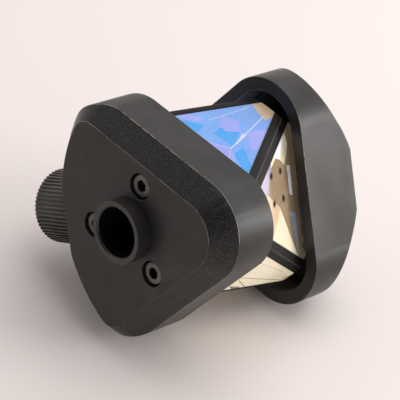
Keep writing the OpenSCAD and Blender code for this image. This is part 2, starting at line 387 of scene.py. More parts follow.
def seen_into_glass(name, look, shadowed, glow, dim, dotted):
    """A prism's outer face: painted reflections between the coated inner faces, under clear glass.

    The tint attribute holds the reflections' flat colours. Streaks, shards and a painted-shade
    rim break them up, the face glows as painted light, and a clear coat gives the polished face.
    """
    paint = Finish(name)
    tint = paint.add("ShaderNodeAttribute", {"attribute_name": "tint"}, output="Color")
    uv = paint.add("ShaderNodeUVMap", {"uv_map": "face"})
    u, v, _ = paint.split(uv)
    u = (u - 0.5) * MAP_REACH
    v = (v - 0.5) * MAP_REACH
    flat = paint.join(u, v)
    shards = paint.cells(paint.stretched(flat, (1, 0.45, 1)), 3.6 * MM)
    haze = paint.noise(flat, 5 * MM, 3, 0.6)
    streak = paint.noise(paint.join(u + 0.35 * v, 0.12 * v), 0.8 * MM, 2)
    light = 0.24 * (haze - 0.5) + 0.08 * (shards - 0.5) + 0.16 * (streak - 0.5)
    pale = 0.5 if dotted else 0.3
    deep = 0.75 if dotted else 0.4
    tone = paint.mix(light.rise(0, 0.22) * pale, tint, (1, 1, 1, 1))
    tone = paint.mix((0 - light).rise(0, 0.22) * deep, tone, rgba(shadowed))
    edge = OCTA_RADIUS / 2
    side = edge - (v * 0.5 + u * 0.866)
    other = edge - (v * 0.5 - u * 0.866)
    rim = 1 - side.smaller(other).smaller(v + edge).rise(2.0 * MM, 2.9 * MM)
    tone = paint.mix(rim * 0.55, tone, rgba(shadowed))
    if dotted:
        near_dot = None
        for du in DOTS_ACROSS:
            for dv in DOTS_UP:
                away = ((u - du) * (u - du) + (v - dv) * (v - dv)) ** 0.5
                near_dot = away if near_dot is None else near_dot.smaller(away)
        tone = paint.mix(1 - near_dot.rise(0.3 * MM, 1.3 * MM), tone, rgba(look.dot))
    tone = paint.mix(dim, tone, (0, 0, 0, 1))
    sockets = {
        "Base Color": tone,
        "Roughness": 0.1 + 0.12 * haze,
        # painted light: the face glows in its own painted colours
        "Emission Color": tone,
        "Emission Strength": glow * look.glow,
        "Coat Weight": 1.0,
        "Coat Roughness": 0.02,
        "IOR": 1.5,
    }
    return paint.done(sockets)


def ground_glass(look):
    """Fine-ground corners and ends of the prisms."""
    paint = Finish("ground_glass")
    grit = paint.noise(paint.place, 0.12 * MM, 3)
    cloud = paint.noise(paint.place, 2 * MM, 3)
    tone = paint.mix(cloud, rgba(look.ground), rgba(look.ground_shade))
    return paint.done({"Base Color": tone, "Roughness": 0.55 + 0.3 * grit}, grit, 0.01 * MM)


def mirror_coat(look):
    """Coating on the inner faces of the prisms."""
    paint = Finish("mirror_coating")
    cloud = paint.noise(paint.place, 3 * MM, 4)
    tone = paint.mix(cloud, rgba(look.coating), rgba(look.coating_shade))
    return paint.done({"Base Color": tone, "Roughness": 0.2 + 0.2 * cloud, "Metallic": 0.9})


def rubber(look):
    paint = Finish("seat_rubber")
    grit = paint.noise(paint.place, 0.3 * MM, 3)
    dust = paint.noise(paint.place, 2.5 * MM, 4).rise(0.5, 0.75)
    tone = paint.mix(dust * 0.5, rgba(look.rubber), rgba(look.strip_streak))
    return paint.done({"Base Color": tone, "Roughness": 0.7 + 0.2 * grit}, grit, 0.02 * MM)


def threaded_steel(look):
    """Bright steel with a 0.7 mm thread."""
    paint = Finish("thread_steel")
    x, y, z = paint.split(paint.seen_from(CLAMP_AXIS))
    lead = z / (0.7 * MM) + y.maths("ARCTAN2", x) / math.tau
    flank = lead.maths("PINGPONG", 0.5)
    cloud = paint.noise(paint.place, 0.8 * MM, 3)
    tone = paint.mix(cloud * (1 - flank), rgba(look.steel), rgba(look.screw_worn))
    sockets = {"Base Color": tone, "Roughness": 0.25 + 0.2 * cloud, "Metallic": 1.0}
    return paint.done(sockets, flank, 0.5 * MM)


# ---- meshes ----


def merged_copy(node, name):
    """A copy of a CAD node's shape, with its loose triangles joined into whole faces."""
    piece = bpy.data.objects.new(name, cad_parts[node].data.copy())
    bpy.context.scene.collection.objects.link(piece)
    piece.data.materials.clear()
    shape = bmesh.new()
    shape.from_mesh(piece.data)
    bmesh.ops.remove_doubles(shape, verts=shape.verts, dist=0.001 * MM)
    bmesh.ops.dissolve_limit(
        shape, angle_limit=math.radians(0.4), verts=shape.verts, edges=shape.edges
    )
    shape.to_mesh(piece.data)
    shape.free()
    return piece


def new_piece(name, shape):
    mesh = bpy.data.meshes.new(name)
    shape.to_mesh(mesh)
    shape.free()
    piece = bpy.data.objects.new(name, mesh)
    bpy.context.scene.collection.objects.link(piece)
    return piece


def smooth(piece, degrees=28):
    piece.data.shade_smooth()
    piece.data.set_sharp_from_angle(angle=math.radians(degrees))


def round_edges(piece, width, segments=2, slot=-1, degrees=28):
    bevel = piece.modifiers.new("Round edges", "BEVEL")
    bevel.width = width
    bevel.segments = segments
    bevel.limit_method = "ANGLE"
    bevel.angle_limit = math.radians(degrees)
    bevel.harden_normals = True
    bevel.material = slot
    bevel.use_clamp_overlap = True


def settle(piece):
    """Turns a piece and its modifiers into a plain mesh."""
    bpy.context.view_layer.update()
    seen = piece.evaluated_get(bpy.context.evaluated_depsgraph_get())
    mesh = bpy.data.meshes.new_from_object(seen)
    piece.modifiers.clear()
    piece.data = mesh
    return piece


def put(piece, axis):
    """Moves a piece's mesh, so that its object stays at the origin."""
    piece.data.transform(axis)
    piece.data.update()


def hand_over(piece, body, slot, *nodes):
    if not piece.data.polygons:
        raise RuntimeError(f"{piece.name} came out empty")
    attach(piece, body)
    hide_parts(*nodes)


def add_mark(mesh, name, domain, values, kind="FLOAT"):
    mark = mesh.attributes.new(name, kind, domain)
    key = "color" if kind == "FLOAT_COLOR" else "value"
    mark.data.foreach_set(key, values)


def repaint(node, material):
    """Gives a kept CAD node a better material."""
    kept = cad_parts[node]
    if not kept.material_slots:
        kept.data.materials.append(material)
    for place in kept.material_slots:
        place.material = material


# ---- sizes and colours ----


def size(name, description, default):
    return FloatProperty(
        name=name, description=description, default=default, unit="LENGTH", precision=5, min=0
    )


def colour(name, description, default):
    return FloatVectorProperty(
        name=name, description=description, default=default, subtype="COLOR", min=0, max=1
    )


class Edges(bpy.types.PropertyGroup):
    cap: size("Cap edge", "Round on a cap's edges", 0.16 * MM)
    sleeve: size("Sleeve edge", "Round on the sleeve's edges", 0.14 * MM)
    ridge: size("Ridge edge", "Round on the knob's ridges", 0.05 * MM)
    knob: size("Knob edge", "Chamfer on the knob's ends", 0.6 * MM)


class ScrewSizes(bpy.types.PropertyGroup):
    circle: size("Screw circle", "Radius at which the cap screws stand", 11.8 * MM)
    count: IntProperty(name="Screws", description="Screws in a cap", default=3, min=1)
    head: size("Head", "Diameter of a screw head", 5.4 * MM)
    head_height: size("Head height", "Height of a screw head", 3 * MM)
    sink: size("Sink", "Depth of the heads below the face", 0.6 * MM)
    hexagon: size("Hexagon", "Hexagon across its flats", 2.5 * MM)
    hexagon_depth: size("Hexagon depth", "Depth of the hexagon", 1.6 * MM)
    shank: size("Shank", "Diameter of a shank", 3 * MM)
    shank_length: size("Shank length", "Length of a shank below the head", 5.4 * MM)
    seed: IntProperty(name="Seed", description="Turns the hexagons", default=4)


class StripSizes(bpy.types.PropertyGroup):
    count: IntProperty(name="Strips", description="Strips round the glass", default=6)
    base: size("Base", "Distance of a strip's back from the centre", 21.902 * MM)
    half: size("Half width", "Half a strip's width", 1.95 * MM)
    edge: size("Edge height", "Height of a strip at its edge", 0.25 * MM)
    ridge: size("Ridge height", "Height of a strip on its middle", 0.85 * MM)
    crest: size("Crest", "Half the width of the rubbed crest", 0.18 * MM)


class KnobSizes(bpy.types.PropertyGroup):
    radius: size("Radius", "Radius of the knob over its ridges", 9.2 * MM)
    valley: size("Valley", "Radius between the ridges", 8.92 * MM)
    length: size("Length", "Length of the knob", 14.6 * MM)
    boss: size("Boss", "Radius of the boss against the cap", 4.5 * MM)
    boss_height: size("Boss height", "Height of the boss", 0.3 * MM)
    hole: size("Hole", "Depth of the hole for the shank", 9 * MM)
    shank: size("Shank", "Radius of the shank", 2 * MM)
    ridges: IntProperty(name="Ridges", description="Ridges round the knob", default=56)


class Finishes(bpy.types.PropertyGroup):
    black: colour("Black", "Anodised black", (0.018, 0.0168, 0.0158))
    worn_black: colour("Worn black", "Lighter clouds in the black", (0.027, 0.0252, 0.024))
    cut_black: colour("Cut black", "Black on the chamfers", (0.003, 0.0028, 0.0027))
    # bare aluminium for the rubbed knob ridges, also the colour of painted glints and painted edge
    # highlights
    bare_and_glint: colour("Bare", "Bare aluminium", (0.34, 0.33, 0.31))
    # pale wall colour: painted light from the glass on the recess wall
    recess: colour("Recess", "Wall behind the glass", (0.5, 0.46, 0.4))
    grain: size("Grain", "Grain of the blasted surface", 0.16 * MM)
    grain_depth: size("Grain depth", "Depth of the blasted surface", 0.012 * MM)
    roughness: FloatProperty(name="Roughness", description="Of the anodised metal", default=0.4)
    # strength of the painted glint specks
    sparkle: FloatProperty(name="Sparkle", description="Specks on a chamfer", default=0.15)
    screw_black: colour("Screw black", "Blackened steel", (0.012, 0.011, 0.01))
    screw_worn: colour("Screw rubbed", "Rubbed steel", (0.2, 0.19, 0.18))
    steel: colour("Steel", "Bright steel", (0.5, 0.49, 0.47))
    brass: colour("Brass", "Bush and pad", (0.62, 0.43, 0.16))
    plate: colour("Plate", "End plates", (0.05, 0.05, 0.052))
    rubber: colour("Rubber", "Seat rings", (0.012, 0.012, 0.012))
    strip: colour("Strip", "Lacquer on the strips", (0.006, 0.0052, 0.005))
    strip_streak: colour("Strip streak", "Streaks in the lacquer", (0.02, 0.0175, 0.016))
    ground: colour("Ground glass", "Ground corners", (0.62, 0.58, 0.5))
    ground_shade: colour("Ground shade", "Shade on the ground corners", (0.4, 0.36, 0.3))
    coating: colour("Coating", "Coating on the inner faces", (0.6, 0.42, 0.25))
    coating_shade: colour("Coating shade", "Shade on the coating", (0.3, 0.2, 0.12))
    dot: colour("Dot", "Small reflections in the amber faces", (0.03, 0.015, 0.02))
    # strength of the painted glow of the prism faces
    glow: FloatProperty(name="Glow", description="Light the prisms return", default=0.3)


class StageSettings(bpy.types.PropertyGroup):
    azimuth: FloatProperty(
        name="Azimuth", description="Camera's", default=math.radians(45.04), subtype="ANGLE"
    )
    elevation: FloatProperty(
        name="Elevation", description="Camera's", default=math.radians(44.06), subtype="ANGLE"
    )
    roll: FloatProperty(
        name="Roll", description="Camera's", default=math.radians(4.01), subtype="ANGLE"
    )
    distance: size("Distance", "Camera from its target", 451 * MM)
    target: FloatVectorProperty(
        name="Target",
        description="Point the camera looks at",
        default=(1.25 * MM, -0.84 * MM, 24.97 * MM),
        subtype="TRANSLATION",
    )
    lens: FloatProperty(name="Lens", description="Focal length in mm", default=169.3)
    floor: colour("Floor", "Paper under the object", (0.86, 0.79, 0.775))
    world: FloatProperty(name="Room", description="Brightness of the room", default=0.85)
    dark_side: FloatProperty(name="Dark side", description="Front of the room", default=0.02)
    backdrop: FloatProperty(name="Backdrop", description="Brightness behind", default=0.85)


class MiniPrism(bpy.types.PropertyGroup):
    edges: PointerProperty(type=Edges)
    screws: PointerProperty(type=ScrewSizes)
    strips: PointerProperty(type=StripSizes)
    knob: PointerProperty(type=KnobSizes)
    look: PointerProperty(type=Finishes)
    stage: PointerProperty(type=StageSettings)


# ---- stage ----

# Name, place, width and height in metres, and power in watts
SOFTBOXES = (
    ("overhead_softbox", (0.05, 0.4, 0.8), 1.0, 1.0, 4.9),
    ("rear_softbox", (0.6, 0.55, 0.2), 0.4, 0.36, 5.0),
)
# Where the room is darkest, in front and above
DARK_WAY = (0.22, -0.6, 0.77)

class MINIPRISM_OT_stage(bpy.types.Operator):
    """Paper floor, soft lights and the camera"""

    bl_idname = "miniprism.stage"
    bl_label = "Stage"

    def execute(self, context):
        scene = context.scene
        stage = scene.mini_prism.stage
        self.add_camera(scene, stage)
        self.add_floor(scene, stage)
        self.add_room(scene, stage)
        for softbox in SOFTBOXES:
            self.add_light(scene, *softbox)
        scene.view_settings.view_transform = "Standard"
        return {"FINISHED"}

    @staticmethod
    def add_camera(scene, stage):
        camera = bpy.data.cameras.new("camera")
        camera.lens = stage.lens
        camera.sensor_width = 36
        camera.clip_start = 0.01
        holder = bpy.data.objects.new("camera", camera)
        scene.collection.objects.link(holder)
        scene.camera = holder
        back = Vector(
            (
                math.sin(stage.azimuth) * math.cos(stage.elevation),
                -math.cos(stage.azimuth) * math.cos(stage.elevation),
                math.sin(stage.elevation),
            )
        )
        target = Vector(stage.target)
        look = back.to_track_quat("Z", "Y").to_matrix().to_4x4()
        place = Matrix.Translation(target + back * stage.distance)
        holder.matrix_world = place @ look @ Matrix.Rotation(stage.roll, 4, "Z")

    @staticmethod
    def add_floor(scene, stage):
        shape = bmesh.new()
        bmesh.ops.create_grid(shape, x_segments=8, y_segments=8, size=1.6)
        floor = new_piece("floor", shape)
        paint = Finish("paper")
        cloud = paint.noise(paint.place, 0.25, 2)
        fibre = paint.noise(paint.place, 0.6 * MM, 3)
        shade = tuple(0.97 * part for part in stage.floor)
        tone = paint.mix(cloud, rgba(stage.floor), rgba(shade))
        sockets = {"Base Color": tone, "Roughness": 0.75 + 0.1 * fibre}
        floor.data.materials.append(paint.done(sockets))

    @staticmethod
    def add_room(scene, stage):
        world = bpy.data.worlds.new("room")
        world.use_nodes = True
        light = world.node_tree.nodes["Background"]
        light.inputs["Color"].default_value = (1, 0.97, 0.955, 1)
        nodes = Nodes(world.node_tree)
        way = nodes.add("ShaderNodeTexCoord")
        settings = {"operation": "DOT_PRODUCT"}
        dark = nodes.add("ShaderNodeVectorMath", settings, {0: way, 1: DARK_WAY}, 1)
        lit = stage.world - (stage.world - stage.dark_side) * dark.rise(0.6, 0.88)
        seen = nodes.add("ShaderNodeLightPath", output="Is Camera Ray")
        strength = lit + seen * (stage.backdrop - lit)
        world.node_tree.links.new(strength.link, light.inputs["Strength"])
        scene.world = world

    @staticmethod
    def add_light(scene, name, place, width, height, power):
        lamp = bpy.data.lights.new(name, "AREA")
        lamp.shape = "RECTANGLE"
        lamp.size = width
        lamp.size_y = height
        lamp.energy = power
        lamp.color = (1, 0.985, 0.97)
        holder = bpy.data.objects.new(name, lamp)
        scene.collection.objects.link(holder)
        aim = Vector(scene.mini_prism.stage.target) - Vector(place)
        look = aim.to_track_quat("-Z", "Y").to_matrix().to_4x4()
        holder.matrix_world = Matrix.Translation(place) @ look


# ---- pieces ----


class MINIPRISM_OT_caps(bpy.types.Operator):
    """Both anodised caps, with rounded edges"""

    bl_idname = "miniprism.caps"
    bl_label = "Caps"

    def execute(self, context):
        prism = context.scene.mini_prism
        skin = anodised("cap_anodised", prism.look, marked=True)
        edge = painted_edge_highlight("cap_edge", prism.look)
        for node, axis in (("near_cap", AXIS), ("far_cap", FAR_AXIS)):
            cap = merged_copy(node, node + "_blasted")
            cap.data.materials.append(skin)
            cap.data.materials.append(edge)
            self.mark_chamfer(cap.data, axis)
            smooth(cap)
            round_edges(cap, prism.edges.cap, 2, 1)
            settle(cap)
            hand_over(cap, "root", "cap_anodised", node)
        return {"FINISHED"}

    @staticmethod
    def mark_chamfer(mesh, axis):
        """Marks the sloping faces, the recess walls that get painted light, and the edges that get
        a painted highlight line.
        """
        out = axis.to_3x3() @ Vector((0, 0, 1))
        slope = [face.normal.dot(out) for face in mesh.polygons]
        add_mark(mesh, "chamfer", "FACE", [0.3 < s < 0.95 for s in slope])
        inner = axis.inverted()
        # recess walls that get painted light from the glass
        glass_lit_walls = []
        for face in mesh.polygons:
            spot = inner @ face.center
            way = inner.to_3x3() @ face.normal
            deep = -spot.z > CAP_THICK / 2 and spot.xy.length > 14 * MM
            glass_lit_walls.append(deep and abs(way.z) < 0.1 and way.xy.dot(spot.xy) < 0)
        add_mark(mesh, "recess", "FACE", glass_lit_walls)
        marks = []
        for vert in mesh.vertices:
            spot = inner @ vert.co
            milled = -spot.z < CHAMFER_DEPTH + 0.1 * MM and spot.xy.length > 15 * MM
            mouth = -spot.z > CAP_THICK - 0.1 * MM and spot.xy.length < CAP_TIP - 2 * MM
            upper = spot.y > -2 * MM
            # painted highlight: full on the upper milled and mouth edges only, faint elsewhere
            marks.append(1.0 if upper and (milled or mouth) else 0.12)
        add_mark(mesh, "bright_edge", "POINT", marks)


class MINIPRISM_OT_sleeve(bpy.types.Operator):
    """Socket sleeve, turned and anodised"""

    bl_idname = "miniprism.sleeve"
    bl_label = "Socket sleeve"

    def execute(self, context):
        prism = context.scene.mini_prism
        look = prism.look
        skin = turned("sleeve_anodised", AXIS, look.black, look.worn_black, 0.34, 0.0, 7.5 * MM)
        edge = painted_edge_highlight("sleeve_edge", look)
        sleeve = merged_copy("socket_sleeve", "socket_sleeve_turned")
        sleeve.data.materials.append(skin)
        sleeve.data.materials.append(edge)
        sleeve.data.materials.append(bore_black(look))
        inner = AXIS.inverted()
        # painted shade: the bore's inner faces get the near-black material
        for face in sleeve.data.polygons:
            spot = inner @ face.center
            if spot.xy.length < 6.05 * MM and spot.z < 3.4 * MM:
                face.material_index = 2
        # painted highlight line on all of the sleeve's edges
        add_mark(sleeve.data, "bright_edge", "POINT", [0.8] * len(sleeve.data.vertices))
        smooth(sleeve)
        round_edges(sleeve, prism.edges.sleeve, 2, 1)
        settle(sleeve)
        hand_over(sleeve, "root", "sleeve_metal", "socket_sleeve")
        return {"FINISHED"}


class MINIPRISM_OT_cap_screws(bpy.types.Operator):
    """Three socket-head screws in each cap"""

    bl_idname = "miniprism.cap_screws"
    bl_label = "Cap screws"

    def execute(self, context):
        prism = context.scene.mini_prism
        steel = screw_steel(prism.look)
        sizes = prism.screws
        for node, axis, seed in (
            ("near_cap_screws", AXIS, sizes.seed),
            ("far_cap_screws", FAR_AXIS, sizes.seed + 5),
        ):
            screws = new_piece(node + "_set", self.screw(sizes))
            self.mark_reach(screws.data)
            tree = self.ring(seed, sizes, steel)
            tree.run(screws)
            settle(screws)
            smooth(screws, 40)
            put(screws, axis)
            hand_over(screws, "root", "screw_steel", node)
        return {"FINISHED"}

    @staticmethod
    def screw(sizes):
        """One screw about z, with its head's top at z = 0, made as rings of points."""
        steps = 36
        shape = bmesh.new()
        hexagon = sizes.hexagon / 2 / math.cos(math.pi / 6)
        edge = 0.3 * MM
        head = sizes.head / 2
        shank = sizes.shank / 2
        profile = (
            (0, -sizes.hexagon_depth - 0.35 * MM, 0),
            (hexagon, -sizes.hexagon_depth, 6),
            (hexagon, -0.12 * MM, 6),
            (hexagon + 0.12 * MM, 0, 6),
            (head - edge, 0, 0),
            (head - 0.3 * edge, -0.3 * edge, 0),
            (head, -edge, 0),
            (head, -sizes.head_height, 0),
            (shank, -sizes.head_height, 0),
            (shank, -sizes.head_height - sizes.shank_length + 0.3 * MM, 0),
            (shank - 0.3 * MM, -sizes.head_height - sizes.shank_length, 0),
            (0, -sizes.head_height - sizes.shank_length, 0),
        )
        rings = []
        for radius, z, sides in profile:
            ring = []
            for step in range(steps if radius else 1):
                angle = math.tau * step / steps
                reach = radius
                if sides:
                    lean = angle % (math.pi / 3) - math.pi / 6
                    reach = radius * math.cos(math.pi / 6) / math.cos(lean)
                ring.append(
                    shape.verts.new((reach * math.cos(angle), reach * math.sin(angle), z))
                )
            rings.append(ring)
        for inner, outer in zip(rings, rings[1:]):
            for step in range(steps):
                after = (step + 1) % steps
                corners = [
                    inner[step % len(inner)],
                    outer[step % len(outer)],
                    outer[after % len(outer)],
                    inner[after % len(inner)],
                ]
                shape.faces.new(list(dict.fromkeys(corners)))
        bmesh.ops.recalc_face_normals(shape, faces=shape.faces)
        return shape

    @staticmethod
    def mark_reach(mesh):
        """Stores each point's distance from the screw's axis, and its depth."""
        add_mark(mesh, "reach", "POINT", [vert.co.xy.length for vert in mesh.vertices])
        add_mark(mesh, "deep", "POINT", [-vert.co.z for vert in mesh.vertices])

    @staticmethod
    def ring(seed, sizes, steel):
        """Copies the screw round the cap, each turned by chance."""
        inputs = {
            "Screws": ("NodeSocketInt", sizes.count),
            "Circle": ("NodeSocketFloat", sizes.circle),
            "Sink": ("NodeSocketFloat", sizes.sink),
            "Seed": ("NodeSocketInt", seed),
        }
        tree = Geometry("cap screw ring", inputs)
        given = tree.values
        ring_inputs = {"Vertices": given["Screws"], "Radius": given["Circle"]}
        circle = tree.add("GeometryNodeMeshCircle", {"fill_type": "NONE"}, ring_inputs)
        turned_circle = tree.add(
            "GeometryNodeTransform",
            None,
            {
                "Geometry": circle,
                "Translation": tree.join(0.0, 0.0, 0 - given["Sink"]),
                "Rotation": (0, 0, math.radians(60)),
            },
        )
        chance = tree.add(
            "FunctionNodeRandomValue",
            {"data_type": "FLOAT"},
            {2: 0.0, 3: math.tau, "Seed": given["Seed"]},
            1,
        )
        copies = tree.add(
            "GeometryNodeInstanceOnPoints",
            None,
            {
                "Points": turned_circle,
                "Instance": given["Geometry"],
                "Rotation": tree.join(0.0, 0.0, chance),
            },
        )
        tree.ends_with(copies, steel)
        return tree


class MINIPRISM_OT_strips(bpy.types.Operator):
    """Six lacquered strips on the bevels between the prisms' faces"""

    bl_idname = "miniprism.strips"
    bl_label = "Edge strips"

    def execute(self, context):
        prism = context.scene.mini_prism
        sizes = prism.strips
        strips = new_piece("edge_strips", self.strip(sizes))
        tree = self.zigzag(sizes, strip_paint(prism.look))
        tree.run(strips)
        settle(strips)
        smooth(strips, 20)
        put(strips, AXIS @ Matrix.Translation((0, 0, -LENGTH / 2)))
        nodes = [f"edge_strip_{number}" for number in range(1, 7)]
        hand_over(strips, "root", "strip_black", *nodes)
        return {"FINISHED"}

    @staticmethod
    def strip(sizes):
        """One strip along z with mitred ends, standing out along x from its edge."""
        profile = (
            (sizes.base, -sizes.half),
            (sizes.base + sizes.edge - 0.06 * MM, -sizes.half),
            (sizes.base + sizes.edge, -sizes.half + 0.08 * MM),
            (sizes.base + sizes.ridge - 0.05 * MM, -sizes.crest),
            (sizes.base + sizes.ridge, 0),
            (sizes.base + sizes.ridge - 0.05 * MM, sizes.crest),
            (sizes.base + sizes.edge, sizes.half - 0.08 * MM),
            (sizes.base + sizes.edge - 0.06 * MM, sizes.half),
            (sizes.base, sizes.half),
        )
        shape = bmesh.new()
        ends = []
        for way in (-1, 1):
            ring = []
            for out, side in profile:
                ring.append(shape.verts.new((out, side, way * (math.sqrt(2) * TIP_CUT - out))))
            ends.append(ring)
            shape.faces.new(ring)
        for number in range(len(profile)):
            after = (number + 1) % len(profile)
            shape.faces.new(
                (ends[0][number], ends[0][after], ends[1][after], ends[1][number])
            )
        bmesh.ops.recalc_face_normals(shape, faces=shape.faces)
        return shape

    @staticmethod
    def zigzag(sizes, lacquer):
        """Copies the strip round the axis, leaning to and fro by turns."""
        inputs = {
            "Strips": ("NodeSocketInt", sizes.count),
            "Lean": ("NodeSocketFloat", LEAN),
        }
        tree = Geometry("strip zigzag", inputs)
        given = tree.values
        x, y, z = tree.split(tree.add("GeometryNodeInputPosition"))
        marked = tree.add(
            "GeometryNodeStoreNamedAttribute",
            {"data_type": "FLOAT", "domain": "POINT"},
            {"Geometry": given["Geometry"], "Name": "across", "Value": y.maths("ABSOLUTE")},
        )
        marked = tree.add(
            "GeometryNodeStoreNamedAttribute",
            {"data_type": "FLOAT", "domain": "POINT"},
            {"Geometry": marked, "Name": "along", "Value": z},
        )
        points = tree.add(
            "GeometryNodeMeshCircle",
            {"fill_type": "NONE"},
            {"Vertices": given["Strips"], "Radius": 0.0},
        )
        index = tree.add("GeometryNodeInputIndex")
        to_and_fro = 1 - 2 * index.maths("MODULO", 2.0)
        angle = math.radians(30) + index * (math.tau / 6)
        rotation = tree.join(given["Lean"] * to_and_fro, 0.0, angle)
        copies = tree.add(
            "GeometryNodeInstanceOnPoints",
            None,
            {"Points": points, "Instance": marked, "Rotation": rotation},
        )
        tree.ends_with(copies, lacquer)
        return tree


# Colours of the painted reflections in the glass
SKY = (0.2, 0.44, 1.0)
AZURE = (0.04, 0.4, 1.0)
LAVENDER = (0.36, 0.42, 1.0)
PALE = (0.62, 0.64, 0.97)
WHITE = (0.93, 0.93, 0.98)
PEACH = (0.72, 0.52, 0.34)
TAN = (0.33, 0.24, 0.15)
BROWN = (0.17, 0.11, 0.06)
IVORY = (0.84, 0.76, 0.55)
LILAC = (0.42, 0.36, 0.5)
OLIVE = (0.13, 0.11, 0.085)
STEEL_BLUE = (0.3, 0.37, 0.5)
STRAW = (0.62, 0.56, 0.33)
SMOKE = (0.19, 0.165, 0.16)
NAVY = (0.05, 0.1, 0.42)


def seam(start, end, width):
    """A thin facet between two points, where two reflections meet."""
    along = (Vector(end) - Vector(start)).normalized()
    side = Vector((-along.y, along.x)) * (width / 2)
    corners = (Vector(start) + side, Vector(start) - side, Vector(end) - side, Vector(end) + side)
    return [tuple(corner) for corner in corners]


# Reflections as facets on a face, in millimetres: v points at the face's odd corner, and
# u to its right. Later facets lie over earlier ones.
SKY_FACETS = (
    (SKY, [(-20, -4), (20, -4), (3.5, 20), (-3.5, 20)]),
    (AZURE, [(-3, 6.8), (-1.2, 7.6), (1.6, 7.6), (3.9, 3.3), (-2.2, 2.8)]),
    (AZURE, [(5.5, 5), (12.6, 1.5), (13.5, -1), (6, 1.5)]),
    (AZURE, [(-11.5, -0.5), (-9.5, 1), (-5.7, 3), (-5, 0.5), (-8, -1)]),
    (LAVENDER, [(-13.5, 0.5), (-12, 2.2), (-7.2, 4.6), (-8, 2.6), (-10, 1)]),
    (LAVENDER, [(-5.5, 8.2), (-1, 9.8), (1.6, 7.8), (-0.7, 5.4), (-3, 5.5)]),
    (LAVENDER, [(2.6, 9), (5.2, 13), (9.5, 7.5), (7.6, 5.4)]),
    (LAVENDER, [(-1.5, -0.5), (3.5, 2.6), (6.8, 1.4), (9, -1)]),
    (PALE, [(2.2, 7.8), (3.4, 8.2), (4.1, 4)]),
    (PEACH, [(-4.4, 16.4), (-1.2, 15.4), (2.8, 14.6), (3.5, 19), (-3.5, 19)]),
    (WHITE, seam((1.5, 15.3), (4.1, 2.4), 0.2)),
    (PALE, seam((-3, 15.1), (-6.2, 5), 0.22)),
    (PALE, seam((4.1, 2.4), (8, -2), 0.18)),
    (PALE, seam((4.1, 2.4), (-3, -1), 0.14)),
)
AMBER_FACETS = (
    (TAN, [(-18, -10), (17, -10), (3, 15), (-3, 15)]),
    (OLIVE, [(-18, -9.6), (16, -9.6), (13, -8), (-6, -7.6), (-17, -6)]),
    (LILAC, [(11.5, 5.5), (7.3, 14), (2.5, 10.5), (3, 8.6), (8.6, 5)]),
    (IVORY, [(9.4, 0), (15, -4.2), (12, -5.4), (7.5, -2.5)]),
    (WHITE, [(15.2, -4.2), (11, 4.2), (9.4, 0)]),
    (WHITE, [(7.2, -3.6), (6.8, -5.3), (-0.4, -5), (0.2, -3.4)]),
    (PEACH, [(-1.5, 2.6), (-8.4, 9.3), (-2, 12), (3.2, 9)]),
    (IVORY, [(-1.5, 2.6), (-8.4, 9.3), (-16, -4.7)]),
    (STEEL_BLUE, [(-3.5, -2.2), (-16, -4.8), (-4.8, -5.6)]),
    (TAN, seam((-1.5, 2.6), (-16, -4.7), 0.3)),
)
CREAM_FACETS = (
    (IVORY, [(-18, -4), (18, -4), (4, 21), (-4, 21)]),
    (SMOKE, [(7.2, 5.6), (7, 8.1), (10.3, 13.6), (11.4, 9.3), (9, 6)]),
    (WHITE, [(13, 6.4), (7.6, 5.8), (11, 9.2)]),
    (STRAW, [(0.1, 16.4), (-2.5, 20), (6, 20.5)]),
    (TAN, seam((2.1, -2), (2.1, 18.4), 0.32)),
    (TAN, seam((3.8, 6), (9.8, 13.6), 0.3)),
    (TAN, seam((-7.4, 2.9), (-2.2, 15.4), 0.12)),
)


